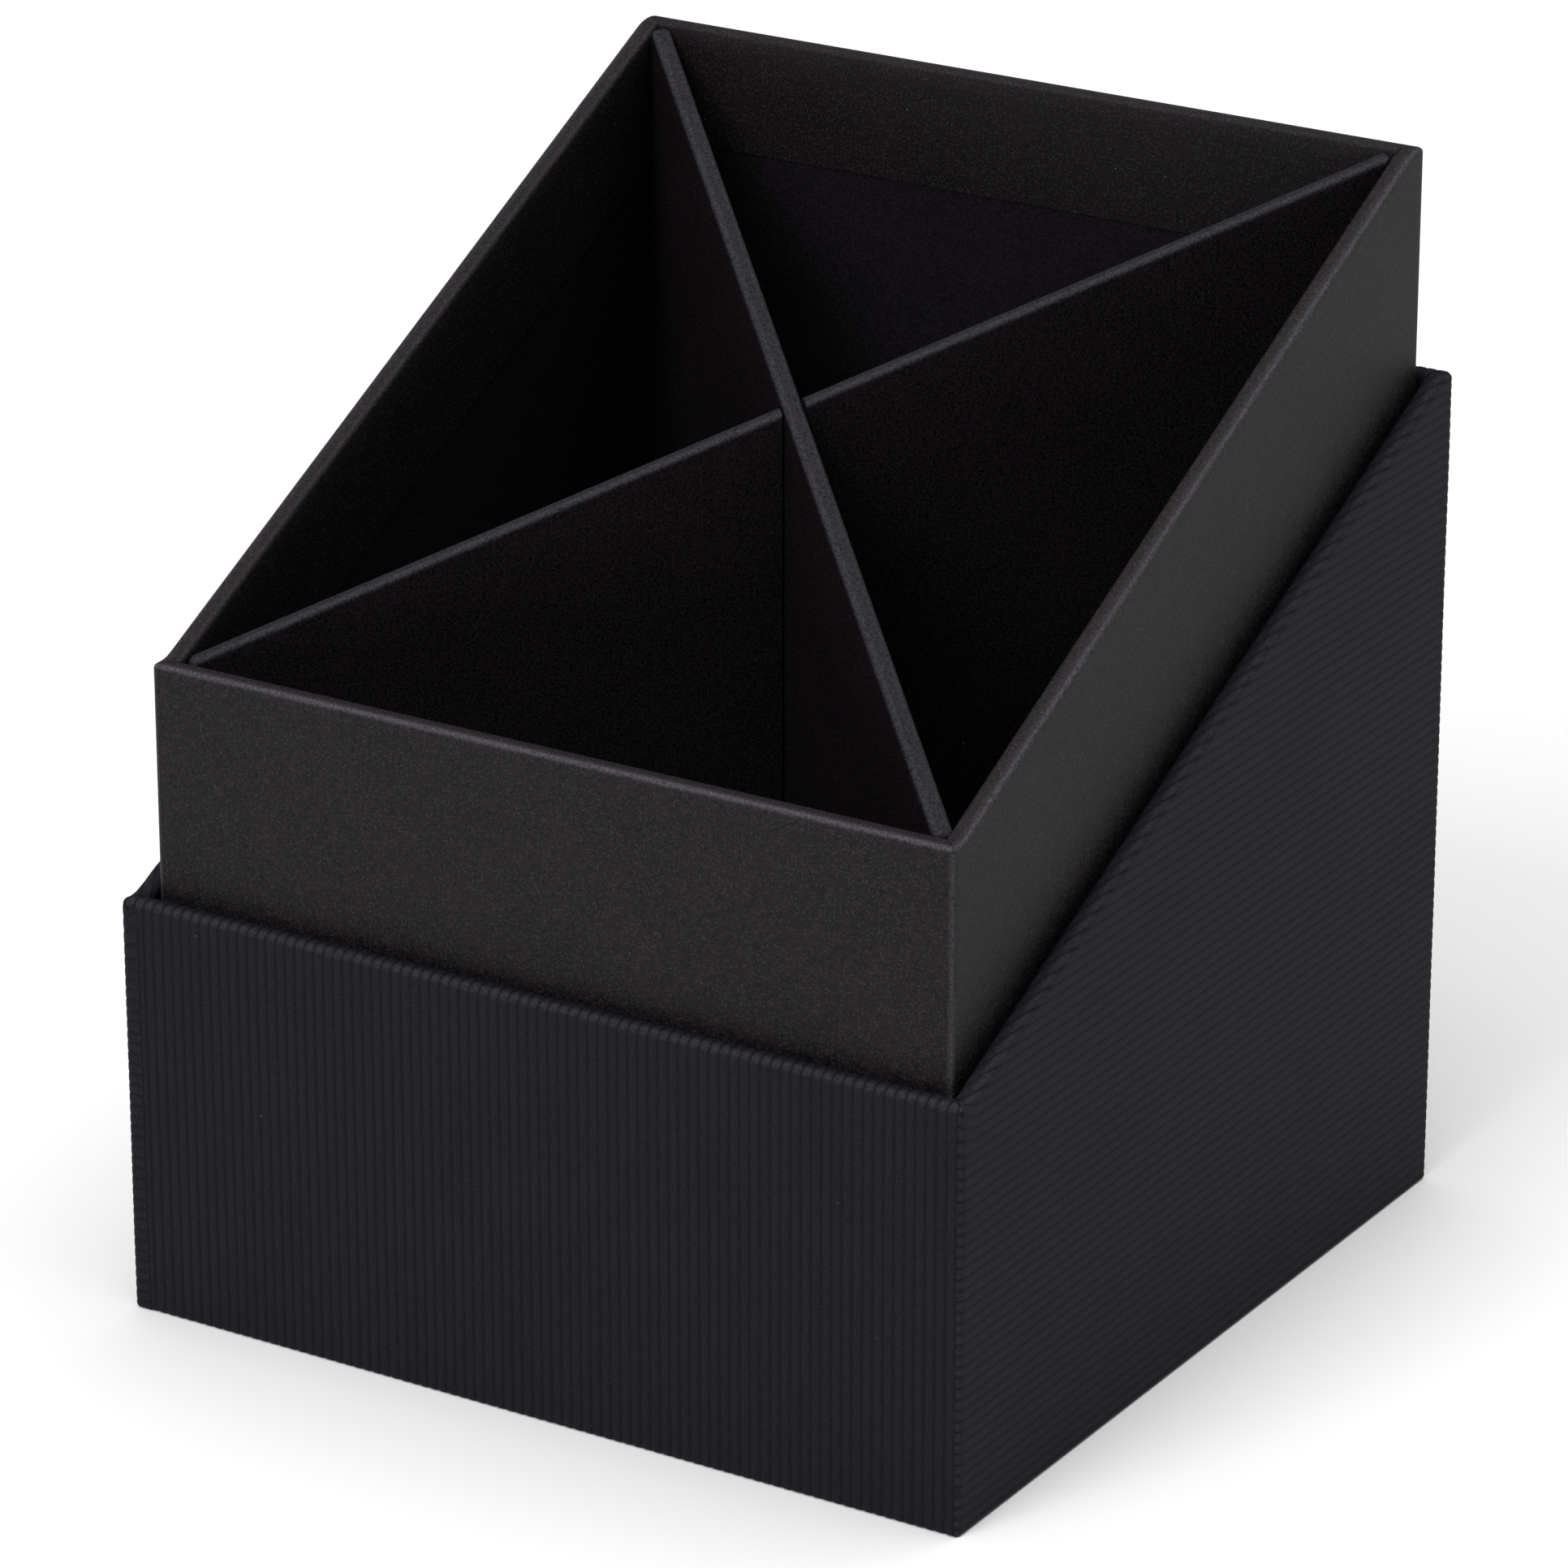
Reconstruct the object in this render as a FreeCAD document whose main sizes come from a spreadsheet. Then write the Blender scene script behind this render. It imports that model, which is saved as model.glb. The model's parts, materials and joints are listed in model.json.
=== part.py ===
import FreeCAD, Part
import os
import Sketcher

# Slant-topped desk pen holder in paper-covered greyboard. A taller plain box stands inside a shorter
# ribbed box, and two crossed dividers split the plain box into four three-cornered wells.
# Millimetres. Origin at the middle of the underside, +X to the right along the low front,
# +Y towards the high back, +Z up. Heights are measured from the surface that the holder stands on.

document = FreeCAD.newDocument("PenHolder")

DIMENSIONS = [
    ("box_side", 95.0, "width and depth over the ribbed cover"),
    ("outer_front_top", 44.0, "height of the ribbed box at its front"),
    ("outer_back_top", 87.7, "height of the ribbed box at its back"),
    ("inner_front_top", 68.0, "height of the plain box at its front"),
    ("inner_back_top", 111.0, "height of the plain box at its back"),
    ("board_thick", 1.5, "greyboard of the walls, bases and dividers"),
    ("paper_thick", 0.3, "covering and lining paper with its glue"),
    ("box_gap", 0.55, "clear gap between the two boxes, each side"),
    ("turn_in", 12.5, "depth of the cover folded over the rim, measured down the inside"),
    ("stay_thick", 0.15, "corner tape"),
    ("stay_width", 12.0, "each leg of a corner tape"),
    ("stay_short", 1.0, "how far a corner tape stops below the edge of the board"),
    ("divider_end_gap", 0.5, "clear gap between a divider's end and its corner"),
    ("divider_drop", 0.2, "how far the dividers stand below the rim"),
    ("lap_gap", 0.3, "clear gap on each side of the halving slot"),
]

sheet = document.addObject("Spreadsheet::Sheet", "Sizes")
for row, (alias, value, meaning) in enumerate(DIMENSIONS, start=1):
    sheet.set(f"A{row}", alias)
    sheet.set(f"B{row}", str(value))
    sheet.setAlias(f"B{row}", alias)
    sheet.set(f"C{row}", meaning)
document.recompute()

BOARD = "Sizes.board_thick"
PAPER = "Sizes.paper_thick"
WALL = f"({BOARD} + 2 * {PAPER})"

pieces = {}


def value_of(expression):
    return float(sheet.evalExpression(expression))


def keep(node, piece):
    """Name a finished piece and list it for export."""
    piece.Label = node
    pieces[node] = piece
    return piece


# ---- Building blocks ---------------------------------------------------------------------------

def block(name, across, along, up):
    """Upright block. Each range is a pair of expressions, low then high."""
    box = document.addObject("Part::Box", name)
    for size, axis, (low, high) in (("Length", "x", across), ("Width", "y", along), ("Height", "z", up)):
        box.setExpression(size, f"({high}) - ({low})")
        box.setExpression(f"Placement.Base.{axis}", low)
    return box


def sloped_block(name, across, along, up_front, up_back):
    """Block whose lower and upper faces rise evenly from the front to the back."""
    wedge = document.addObject("Part::Wedge", name)
    bounds = {
        "Xmin": across[0], "Xmax": across[1], "X2min": across[0], "X2max": across[1],
        "Ymin": along[0], "Ymax": along[1],
        "Zmin": up_front[0], "Zmax": up_front[1], "Z2min": up_back[0], "Z2max": up_back[1],
    }
    for bound, expression in bounds.items():
        wedge.setExpression(bound, expression)
    return wedge


def turned(body, degrees):
    """Turn a body about the holder's upright middle line."""
    upright = FreeCAD.Vector(0, 0, 1)
    body.Placement = FreeCAD.Placement(FreeCAD.Vector(), FreeCAD.Rotation(upright, degrees))


def joined(name, shapes):
    """One sheet of paper from the flat panels between its folds."""
    fused = document.addObject("Part::MultiFuse", name)
    fused.Shapes = shapes
    fused.Refine = True
    return fused


def relieved(name, blank, tool):
    """A blank with the space of another piece taken out of it."""
    cut = document.addObject("Part::Cut", name)
    cut.Base = blank
    cut.Tool = tool
    return cut


def outline(body, name, plane_role, corners):
    """Closed straight-sided sketch on one of the body's origin planes, every corner placed by expression."""
    sketch = body.newObject("Sketcher::SketchObject", name)
    plane = next(item for item in body.Origin.OriginFeatures if item.Role == plane_role)
    sketch.AttachmentSupport = [(plane, "")]
    sketch.MapMode = "FlatFace"
    points = [FreeCAD.Vector(value_of(across), value_of(up), 0) for across, up in corners]
    count = len(points)
    for index in range(count):
        sketch.addGeometry(Part.LineSegment(points[index], points[(index + 1) % count]), False)
    for index in range(count):
        sketch.addConstraint(Sketcher.Constraint("Coincident", index, 2, (index + 1) % count, 1))
    for index, (across, up) in enumerate(corners):
        for kind, expression, place in (("DistanceX", across, points[index].x),
                                        ("DistanceY", up, points[index].y)):
            number = sketch.addConstraint(Sketcher.Constraint(kind, -1, 1, index, 1, place))
            sketch.setExpression(f"Constraints[{number}]", expression)
    return sketch


# ---- The stations of one box -------------------------------------------------------------------

class Tray:
    """Where the layers of one open box lie, as expressions in the sheet's dimensions."""

    def __init__(self, name, half, seat, front_top, back_top):
        self.name = name
        self.outside = f"({half})"
        self.board_out = f"({half} - {PAPER})"
        self.board_in = f"({half} - {PAPER} - {BOARD})"
        self.inside = f"({half} - {WALL})"
        self.seat = f"({seat})"
        self.foot = f"({seat} + {PAPER})"
        self.floor = f"({seat} + {PAPER} + {BOARD})"
        self.front_top = front_top
        self.back_top = back_top
        self.slope = f"(({back_top} - {front_top}) / (2 * {self.inside}))"
        self.rim_paper = f"({PAPER} * sqrt(1 + {self.slope} * {self.slope}))"

    def rim(self, along):
        """Height of the sloping rim at a distance along +Y."""
        return f"({self.front_top} + ({along} + {self.inside}) * {self.slope})"


def both_ways(half):
    return (f"-{half}", half)


def side_range(side, near, far):
    """Range across a side wall, from its inner face to its outer face, on the left or the right."""
    if side == "right":
        return (near, far)
    return (f"-{far}", f"-{near}")


# ---- Pieces of one box -------------------------------------------------------------------------

def corner_stay(tray, corner, quarter_turns, top):
    """L of tape round one upright corner of the boards."""
    node = f"{tray.name}_corner_stay_{corner}"
    body = document.addObject("PartDesign::Body", node)
    far = tray.board_out
    near = f"({far} - Sizes.stay_thick)"
    end = f"({far} - Sizes.stay_width)"
    profile = outline(body, f"{node}_profile", "XY_Plane",
                      [(end, near), (near, near), (near, end), (far, end), (far, far), (end, far)])
    profile.setExpression("AttachmentOffset.Base.z", tray.foot)
    tape = body.newObject("PartDesign::Pad", f"{node}_tape")
    tape.Profile = profile
    tape.setExpression("Length", f"{top} - {tray.foot}")
    turned(body, 90 * quarter_turns)
    return keep(node, body)


def corner_stays(tray):
    front = f"({tray.front_top} - {PAPER} - Sizes.stay_short)"
    tape_edge = f"({tray.board_out} - Sizes.stay_width)"
    back = f"({tray.rim(tape_edge)} - {tray.rim_paper} - Sizes.stay_short)"
    places = (("back_right", 0, back), ("back_left", 1, back),
              ("front_left", 2, front), ("front_right", 3, front))
    stays = [corner_stay(tray, corner, turns, top) for corner, turns, top in places]
    tapes = document.addObject("Part::MultiFuse", f"{tray.name}_tapes")
    tapes.Shapes = stays
    return tapes


def boards(tray, tapes):
    """Base board and four wall boards. The front and back run the full width, the sides stand between."""
    name = tray.name
    middle = both_ways(tray.board_in)
    keep(f"{name}_base_board", block(f"{name}_base_board", middle, middle, (tray.foot, tray.floor)))
    full_width = both_ways(tray.board_out)
    for end, along, top in (("front", (f"-{tray.board_out}", f"-{tray.board_in}"), tray.front_top),
                            ("back", (tray.board_in, tray.board_out), tray.back_top)):
        blank = block(f"{name}_{end}_blank", full_width, along, (tray.foot, f"{top} - {PAPER}"))
        keep(f"{name}_{end}_board", relieved(f"{name}_{end}_board", blank, tapes))
    low_end = f"{tray.rim('-' + tray.board_in)} - {tray.rim_paper}"
    high_end = f"{tray.back_top} - {tray.rim_paper}"
    for side in ("left", "right"):
        blank = sloped_block(f"{name}_{side}_blank", side_range(side, tray.board_in, tray.board_out),
                             middle, (tray.foot, low_end), (tray.foot, high_end))
        keep(f"{name}_{side}_board", relieved(f"{name}_{side}_board", blank, tapes))


def end_wrap(tray, end):
    """Cover of the front or back wall: up the outside, over the level rim and down the inside."""
    node = f"{tray.name}_wrap_{end}"
    if end == "front":
        face = (f"-{tray.outside}", f"-{tray.board_out}")
        rim = (f"-{tray.outside}", f"-{tray.inside}")
        flap = (f"-{tray.board_in}", f"-{tray.inside}")
        top = tray.front_top
    else:
        face = (tray.board_out, tray.outside)
        rim = (tray.inside, tray.outside)
        flap = (tray.inside, tray.board_in)
        top = tray.back_top
    under_rim = f"({top} - {PAPER})"
    panels = [
        block(f"{node}_face", both_ways(tray.board_out), face, (tray.foot, under_rim)),
        block(f"{node}_rim", both_ways(tray.board_out), rim, (under_rim, top)),
        block(f"{node}_turn_in", both_ways(tray.inside), flap, (f"{top} - Sizes.turn_in", under_rim)),
    ]
    return keep(node, joined(node, panels))


def side_wrap(tray, side):
    """Cover of a sloping wall. It runs the full depth, past the ends of the front and back covers."""
    node = f"{tray.name}_wrap_{side}"
    face = side_range(side, tray.board_out, tray.outside)
    rim = side_range(side, tray.inside, tray.outside)
    flap = side_range(side, tray.inside, tray.board_in)
    between = both_ways(tray.inside)
    front = tray.front_top
    back = tray.back_top
    panels = [
        sloped_block(f"{node}_face", face, between, (tray.foot, front), (tray.foot, back)),
        block(f"{node}_front_end", face, (f"-{tray.outside}", f"-{tray.inside}"), (tray.foot, front)),
        block(f"{node}_back_end", face, (tray.inside, tray.outside), (tray.foot, back)),
        sloped_block(f"{node}_rim", rim, between,
                     (f"{front} - {tray.rim_paper}", front), (f"{back} - {tray.rim_paper}", back)),
        sloped_block(f"{node}_turn_in", flap, between,
                     (f"{front} - Sizes.turn_in", front), (f"{back} - Sizes.turn_in", back)),
    ]
    return keep(node, joined(node, panels))


def wraps(tray):
    """The cross-shaped cover, one piece for each of its five panels."""
    node = f"{tray.name}_wrap_base"
    keep(node, block(node, both_ways(tray.outside), both_ways(tray.outside), (tray.seat, tray.foot)))
    for end in ("front", "back"):
        end_wrap(tray, end)
    for side in ("left", "right"):
        side_wrap(tray, side)


def linings(tray):
    """Paper on the floor and on the walls below the turned-in cover."""
    name = tray.name
    between = both_ways(tray.inside)
    top_of_floor = f"({tray.floor} + {PAPER})"
    keep(f"{name}_lining_base", block(f"{name}_lining_base", between, between, (tray.floor, top_of_floor)))
    for end, along, top in (("front", (f"-{tray.board_in}", f"-{tray.inside}"), tray.front_top),
                            ("back", (tray.inside, tray.board_in), tray.back_top)):
        node = f"{name}_lining_{end}"
        keep(node, block(node, between, along, (tray.floor, f"{top} - Sizes.turn_in")))
    for side in ("left", "right"):
        node = f"{name}_lining_{side}"
        keep(node, sloped_block(node, side_range(side, tray.inside, tray.board_in), between,
                                (tray.floor, f"{tray.front_top} - Sizes.turn_in"),
                                (tray.floor, f"{tray.back_top} - Sizes.turn_in")))


outer = Tray("outer", "Sizes.box_side / 2", "0", "Sizes.outer_front_top", "Sizes.outer_back_top")
inner = Tray("inner", f"Sizes.box_side / 2 - {WALL} - Sizes.box_gap", f"{PAPER} + {BOARD}",
             "Sizes.inner_front_top", "Sizes.inner_back_top")
for tray in (outer, inner):
    boards(tray, corner_stays(tray))
    wraps(tray)
linings(inner)

# ---- Crossed dividers --------------------------------------------------------------------------
# Each stands on the floor lining, corner to corner, and is halved over the other at the middle.

DIVIDER_THICK = f"({BOARD} + 2 * {PAPER})"
DIVIDER_FOOT = f"({inner.floor} + {PAPER})"
DIVIDER_REACH = f"({inner.inside} * sqrt(2) - {DIVIDER_THICK} / 2 - Sizes.divider_end_gap)"
DIVIDER_SLOPE = f"({inner.slope} / sqrt(2))"
DIVIDER_MIDDLE = f"(({inner.front_top} + {inner.back_top}) / 2 - Sizes.divider_drop)"
LAP_HALF = f"({DIVIDER_THICK} / 2 + Sizes.lap_gap)"
LAP_LEVEL = f"(({DIVIDER_FOOT} + {DIVIDER_MIDDLE}) / 2)"
EDGE_PAPER = f"({PAPER} * sqrt(1 + {DIVIDER_SLOPE} * {DIVIDER_SLOPE}))"
CLEAR_OF_EDGE = "2"


def halved_plate(name, thickness, reach, lowered, slot, turn):
    """Upright plate with a sloping top edge and a halving slot from above or from below."""
    body = document.addObject("PartDesign::Body", name)
    middle = f"({DIVIDER_MIDDLE} - {lowered})"
    rise = f"({reach} * {DIVIDER_SLOPE})"
    face = outline(body, f"{name}_face", "YZ_Plane",
                   [(f"-{reach}", DIVIDER_FOOT), (reach, DIVIDER_FOOT),
                    (reach, f"{middle} + {rise}"), (f"-{reach}", f"{middle} - {rise}")])
    plate = body.newObject("PartDesign::Pad", f"{name}_plate")
    plate.Profile = face
    plate.Midplane = True
    plate.setExpression("Length", thickness)
    if slot == "above":
        low = LAP_LEVEL
        high = f"{middle} + {CLEAR_OF_EDGE}"
    else:
        low = f"{DIVIDER_FOOT} - {CLEAR_OF_EDGE}"
        high = f"{LAP_LEVEL} + Sizes.lap_gap"
    notch = outline(body, f"{name}_notch", "YZ_Plane",
                    [(f"-{LAP_HALF}", low), (LAP_HALF, low), (LAP_HALF, high), (f"-{LAP_HALF}", high)])
    document.recompute()
    lap = body.newObject("PartDesign::Pocket", f"{name}_lap")
    lap.Profile = notch
    lap.Type = "ThroughAll"
    lap.Midplane = True
    turned(body, turn)
    return body


def divider(name, slot, turn):
    """Greyboard plate with a paper cover folded over its top edge and both ends."""
    core = halved_plate(f"{name}_board", BOARD, f"({DIVIDER_REACH} - {PAPER})", EDGE_PAPER, slot, turn)
    covered = halved_plate(f"{name}_covered", DIVIDER_THICK, DIVIDER_REACH, "0", slot, turn)
    keep(f"{name}_board", core)
    keep(f"{name}_cover", relieved(f"{name}_cover", covered, core))


divider("lower_divider", "above", -45)
divider("upper_divider", "below", 45)

# ---- Checks and export -------------------------------------------------------------------------

document.recompute()
for item in document.Objects:
    faults = [state for state in item.State if state in ("Invalid", "Error")]
    if faults:
        raise RuntimeError(f"{item.Label} is {faults}")
for node, piece in pieces.items():
    shape = piece.Shape
    if shape.isNull() or not shape.isValid() or len(shape.Solids) != 1:
        raise RuntimeError(f"{node} is not one valid solid")

os.makedirs("parts", exist_ok=True)
for node, piece in pieces.items():
    piece.Shape.exportStep(f"parts/{node}.step")
print(len(pieces), "pieces written")
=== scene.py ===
# %% [markdown]
# # A slant-topped pen holder in black paper
#
# The real thing is bookbinder's work: greyboard walls, covered in paper that is folded over every rim.
# A taller box in plain black paper stands inside a shorter box in ribbed black paper, and two crossed
# dividers stand in the inner box. The boards are already right as they come from the frame. What the
# eye sees is the paper, so this script cuts, ribs and folds each sheet the way the binder does.

# %% Load the frame
import bmesh
import bpy
import json
import math
import numpy as np
from mathutils import Matrix, Vector, noise


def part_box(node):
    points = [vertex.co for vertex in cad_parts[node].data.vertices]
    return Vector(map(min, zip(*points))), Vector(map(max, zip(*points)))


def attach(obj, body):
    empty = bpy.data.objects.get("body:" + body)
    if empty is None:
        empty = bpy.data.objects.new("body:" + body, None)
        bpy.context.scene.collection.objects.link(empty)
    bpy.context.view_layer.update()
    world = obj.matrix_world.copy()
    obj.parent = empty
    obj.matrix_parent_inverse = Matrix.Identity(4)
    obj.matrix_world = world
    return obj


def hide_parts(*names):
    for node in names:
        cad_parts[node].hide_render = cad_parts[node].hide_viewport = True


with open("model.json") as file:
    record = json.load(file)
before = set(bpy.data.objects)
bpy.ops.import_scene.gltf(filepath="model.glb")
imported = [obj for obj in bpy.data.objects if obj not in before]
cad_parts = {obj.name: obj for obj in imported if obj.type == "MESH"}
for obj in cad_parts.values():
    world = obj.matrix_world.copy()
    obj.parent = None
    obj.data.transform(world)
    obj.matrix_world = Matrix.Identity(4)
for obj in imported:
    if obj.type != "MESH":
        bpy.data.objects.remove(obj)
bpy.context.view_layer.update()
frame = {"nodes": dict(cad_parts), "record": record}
MM = 0.001

# %% [markdown]
# ## Where the walls stand
#
# Both boxes are built alike, so one small class reads the places of either from the frame: half the
# width, the wall's whole thickness and the heights of its rim. The front and back rims are level. The
# side rims rise evenly between them.

# %% The two boxes
RIM_EASE = 0.9 * MM  # how far to each side of its bend a side rim turns from level into its slope
FOOT_RADIUS = 0.5 * MM  # how sharply the paper turns under a box


class PaperBox:
    """Places of one covered box, in metres."""

    def __init__(self, name, edge, corner, relief):
        base_low, base_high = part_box(f"{name}_wrap_base")
        front_low, front_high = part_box(f"{name}_wrap_front")
        self.name = name
        self.half = base_high.x
        self.bottom = base_low.z
        self.wall = front_high.y - front_low.y
        self.inside = self.half - self.wall
        self.front_top = front_high.z
        self.back_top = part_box(f"{name}_wrap_back")[1].z
        self.rise = (self.back_top - self.front_top) / (2 * self.inside)
        self.edge = edge  # radius of the paper where it turns over the rim
        self.corner = corner  # radius of the upright corners
        self.relief = relief  # depth of the ribs

    def fold_line(self, side):
        """Height of the rim at the middle of a wall, and how fast it rises along the wall."""
        if side == "front":
            return self.front_top, 0.0
        if side == "back":
            return self.back_top, 0.0
        return (self.front_top + self.back_top) / 2, self.rise

    def level_ends(self, along):
        """True height of a side rim: level over the front and back boards, eased into the slope."""
        def eased(distance):
            distance = np.clip(distance, -RIM_EASE, None)
            return np.where(distance < RIM_EASE, (distance + RIM_EASE) ** 2 / (4 * RIM_EASE), distance)

        from_front = self.front_top + self.rise * eased(along + self.inside)
        from_back = self.back_top - self.rise * eased(self.inside - along)
        return np.where(along < 0, from_front, from_back)


outer = PaperBox("outer", edge=0.8 * MM, corner=0.65 * MM, relief=0.085 * MM)
inner = PaperBox("inner", edge=0.5 * MM, corner=0.65 * MM, relief=0.0)
TURN_IN = inner.back_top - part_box("inner_lining_back")[1].z
for box in (outer, inner):
    print(f"{box.name}: {2 * box.half / MM:.1f} mm square, rim {box.front_top / MM:.1f}"
          f" to {box.back_top / MM:.1f} mm, walls {box.wall / MM:.1f} mm")

# %% [markdown]
# ## The camera and the light
#
# The view is from the front right and a little above, through a long lens, so the sides stay almost
# parallel. Black paper shows its form only by what it reflects, so the light is large and soft: two
# broad skies, one overhead and one from the front, a panel in front and another behind, and a white
# surround. The Standard view transform shows the dark tones just as they are set.

# %% Camera
AZIMUTH = math.radians(31.8)
ELEVATION = math.radians(21.7)
LENS = 172.3  # millimetres, on a sensor 36 mm wide
VIEW_FROM = Vector((362.5, -586.3, 324.1)) * MM


def add_object(name, data):
    thing = bpy.data.objects.new(name, data)
    bpy.context.scene.collection.objects.link(thing)
    return thing


def add_camera():
    data = bpy.data.cameras.new("camera")
    data.lens = LENS
    data.sensor_width = 36.0
    data.clip_start = 0.01
    camera = add_object("camera", data)
    camera.location = VIEW_FROM
    camera.rotation_euler = (math.pi / 2 - ELEVATION, 0.0, AZIMUTH)
    bpy.context.scene.camera = camera
    return camera


camera = add_camera()
print(f"camera {camera.location.length:.2f} m from the holder, lens {LENS:.0f} mm")


# %% Light
HEART = (0.0, 0.0, 0.06)  # the point that the panels face
SURROUND = 0.18  # strength of the white all round


def hang_lamp(data, place, towards):
    lamp = add_object(data.name, data)
    lamp.location = place
    lamp.rotation_euler = (Vector(towards) - Vector(place)).to_track_quat("-Z", "Y").to_euler()


def add_panel_light(name, place, size, power, colour):
    data = bpy.data.lights.new(name, "AREA")
    data.shape = "RECTANGLE"
    data.size, data.size_y = size
    data.energy = power
    data.color = colour
    hang_lamp(data, place, HEART)


def add_soft_sky(name, direction, strength, spread):
    """A sun so wide that it acts as a patch of bright sky. Only its direction counts, not its place."""
    data = bpy.data.lights.new(name, "SUN")
    data.energy = strength
    data.angle = spread
    hang_lamp(data, direction, (0.0, 0.0, 0.0))


def add_surround():
    world = bpy.data.worlds.new("white_surround")
    world.use_nodes = True
    background = world.node_tree.nodes["Background"]
    background.inputs["Color"].default_value = (1.0, 1.0, 1.0, 1.0)
    background.inputs["Strength"].default_value = SURROUND
    bpy.context.scene.world = world


add_soft_sky("overhead_sky", (0.1, 0.05, 1.0), 2.0, math.radians(60))
add_soft_sky("front_sky", (-0.1, -0.75, 0.8), 0.9, math.radians(50))
add_panel_light("back_panel", (0.55, 1.15, 0.75), (0.5, 0.3), 1.5, (1.0, 0.99, 1.0))
add_panel_light("front_panel", (-0.12, -1.05, 1.1), (0.6, 0.6), 7.0, (0.98, 0.98, 1.0))
add_surround()
bpy.context.scene.view_settings.view_transform = "Standard"
print("lights:", ", ".join(light.name for light in bpy.data.lights))

# %% [markdown]
# ## Small helpers for materials
#
# Every finish here is a handful of nodes: some noise for the fibre, a few mixes for the tone and a
# bump. Three helpers keep the wiring short. An effect that more than one paper has becomes a node
# group with named inputs, so each paper can set its own values.

# %% Node helpers
def put(tree, kind, values=None, **settings):
    """Adds a node, with its settings and the values of its unlinked inputs."""
    node = tree.nodes.new(kind)
    for name, value in settings.items():
        setattr(node, name, value)
    for name, value in (values or {}).items():
        node.inputs[name].default_value = value
    return node


def wire(tree, *pairs):
    for source, target in pairs:
        tree.links.new(source, target)


def maths(tree, operation, *terms, clamp=False):
    """A maths node. Each term is a number or another node's output."""
    node = put(tree, "ShaderNodeMath", operation=operation, use_clamp=clamp)
    for socket, term in zip(node.inputs, terms):
        if isinstance(term, bpy.types.NodeSocket):
            tree.links.new(term, socket)
        else:
            socket.default_value = term
    return node.outputs["Value"]


def new_group(name, inputs, outputs):
    """Empty shader group, what it is given and what it puts out. Inputs have names and defaults."""
    tree = bpy.data.node_groups.new(name, "ShaderNodeTree")
    for socket, default in inputs.items():
        kind = "NodeSocketVector" if isinstance(default, tuple) else "NodeSocketFloat"
        tree.interface.new_socket(socket, in_out="INPUT", socket_type=kind).default_value = default
    for socket in outputs:
        tree.interface.new_socket(socket, in_out="OUTPUT", socket_type="NodeSocketFloat")
    return tree, put(tree, "NodeGroupInput").outputs, put(tree, "NodeGroupOutput").inputs


def new_material(name):
    material = bpy.data.materials.new(name)
    material.use_nodes = True
    tree = material.node_tree
    return material, tree, tree.nodes["Principled BSDF"]


# %% [markdown]
# ### Fibre, flecks and dust
#
# Paper is a felt of fibres. Close up it is neither flat nor one tone: there is a fine grain, and a
# slower cloudiness where the pulp lies thicker. The papers also have tiny pearl flecks in them, and
# black paper never stays free of dust for long. One group makes the fibre, and one makes the specks.

# %% Shared groups
ANYWHERE = (0.0, 0.0, 0.0)


def fibre_group():
    """Fine grain and slow clouds, both from 0 to 1."""
    inputs = {"Vector": ANYWHERE, "Grain per metre": 4000.0, "Clouds per metre": 90.0}
    tree, given, result = new_group("Paper fibre", inputs, ("Grain", "Clouds"))
    grain = put(tree, "ShaderNodeTexNoise", {"Detail": 3.0, "Roughness": 0.65})
    clouds = put(tree, "ShaderNodeTexNoise", {"Detail": 2.0, "Roughness": 0.5})
    for node, name in ((grain, "Grain"), (clouds, "Clouds")):
        wire(tree, (given["Vector"], node.inputs["Vector"]),
             (given[f"{name} per metre"], node.inputs["Scale"]), (node.outputs["Fac"], result[name]))
    return tree


def speck_group():
    """Sparse round specks: 1 at a speck's middle, 0 elsewhere. Share is how many cells have one."""
    inputs = {"Vector": ANYWHERE, "Per metre": 900.0, "Share": 0.1, "Size": 0.25}
    tree, given, result = new_group("Specks", inputs, ("Mask",))
    cells = put(tree, "ShaderNodeTexVoronoi", feature="F1")
    channels = put(tree, "ShaderNodeSeparateColor")
    spread = put(tree, "ShaderNodeMapRange", {"From Min": 0.0, "To Min": 1.0, "To Max": 0.0},
                 interpolation_type="SMOOTHSTEP")
    wire(tree, (given["Vector"], cells.inputs["Vector"]), (given["Per metre"], cells.inputs["Scale"]),
         (cells.outputs["Color"], channels.inputs["Color"]),
         (cells.outputs["Distance"], spread.inputs["Value"]), (given["Size"], spread.inputs["From Max"]))
    chosen = maths(tree, "LESS_THAN", channels.outputs["Red"], given["Share"])
    mask = maths(tree, "MULTIPLY", spread.outputs["Result"], chosen)
    wire(tree, (maths(tree, "MULTIPLY", mask, channels.outputs["Green"]), result["Mask"]))
    return tree


FIBRE = fibre_group()
SPECKS = speck_group()
print("shader groups:", FIBRE.name, "and", SPECKS.name)


# %% [markdown]
# ### A paper from the groups
#
# All four black papers are the same recipe with other numbers: a base colour that the grain and the
# clouds shift a little, flecks, dust, a roughness that follows the grain, and a bump. Two attributes
# that the sheets carry steer it further. `crest` is 1 on top of a rib and 0 in the groove, and on
# ribbed paper the groove takes the dark colour: painted shade in the groove. The other attribute
# lightens the paper, part wear from handling and part painted highlight where the light catches a
# bend: most where it turns over a rim, some at the upright corners and nothing on the flat. A sheet
# without an attribute reads 0.

# %% Mixing helpers
def tone(tree, base, tint, factor):
    """Mixes a base towards a fixed tint by a factor output. The base is an output or a fixed colour."""
    mix = put(tree, "ShaderNodeMix", data_type="RGBA", blend_type="MIX")
    mix.inputs["B"].default_value = (*tint, 1.0)
    wire(tree, (factor, mix.inputs["Factor"]))
    if isinstance(base, tuple):
        mix.inputs["A"].default_value = (*base, 1.0)
    else:
        wire(tree, (base, mix.inputs["A"]))
    return mix.outputs["Result"]


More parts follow.
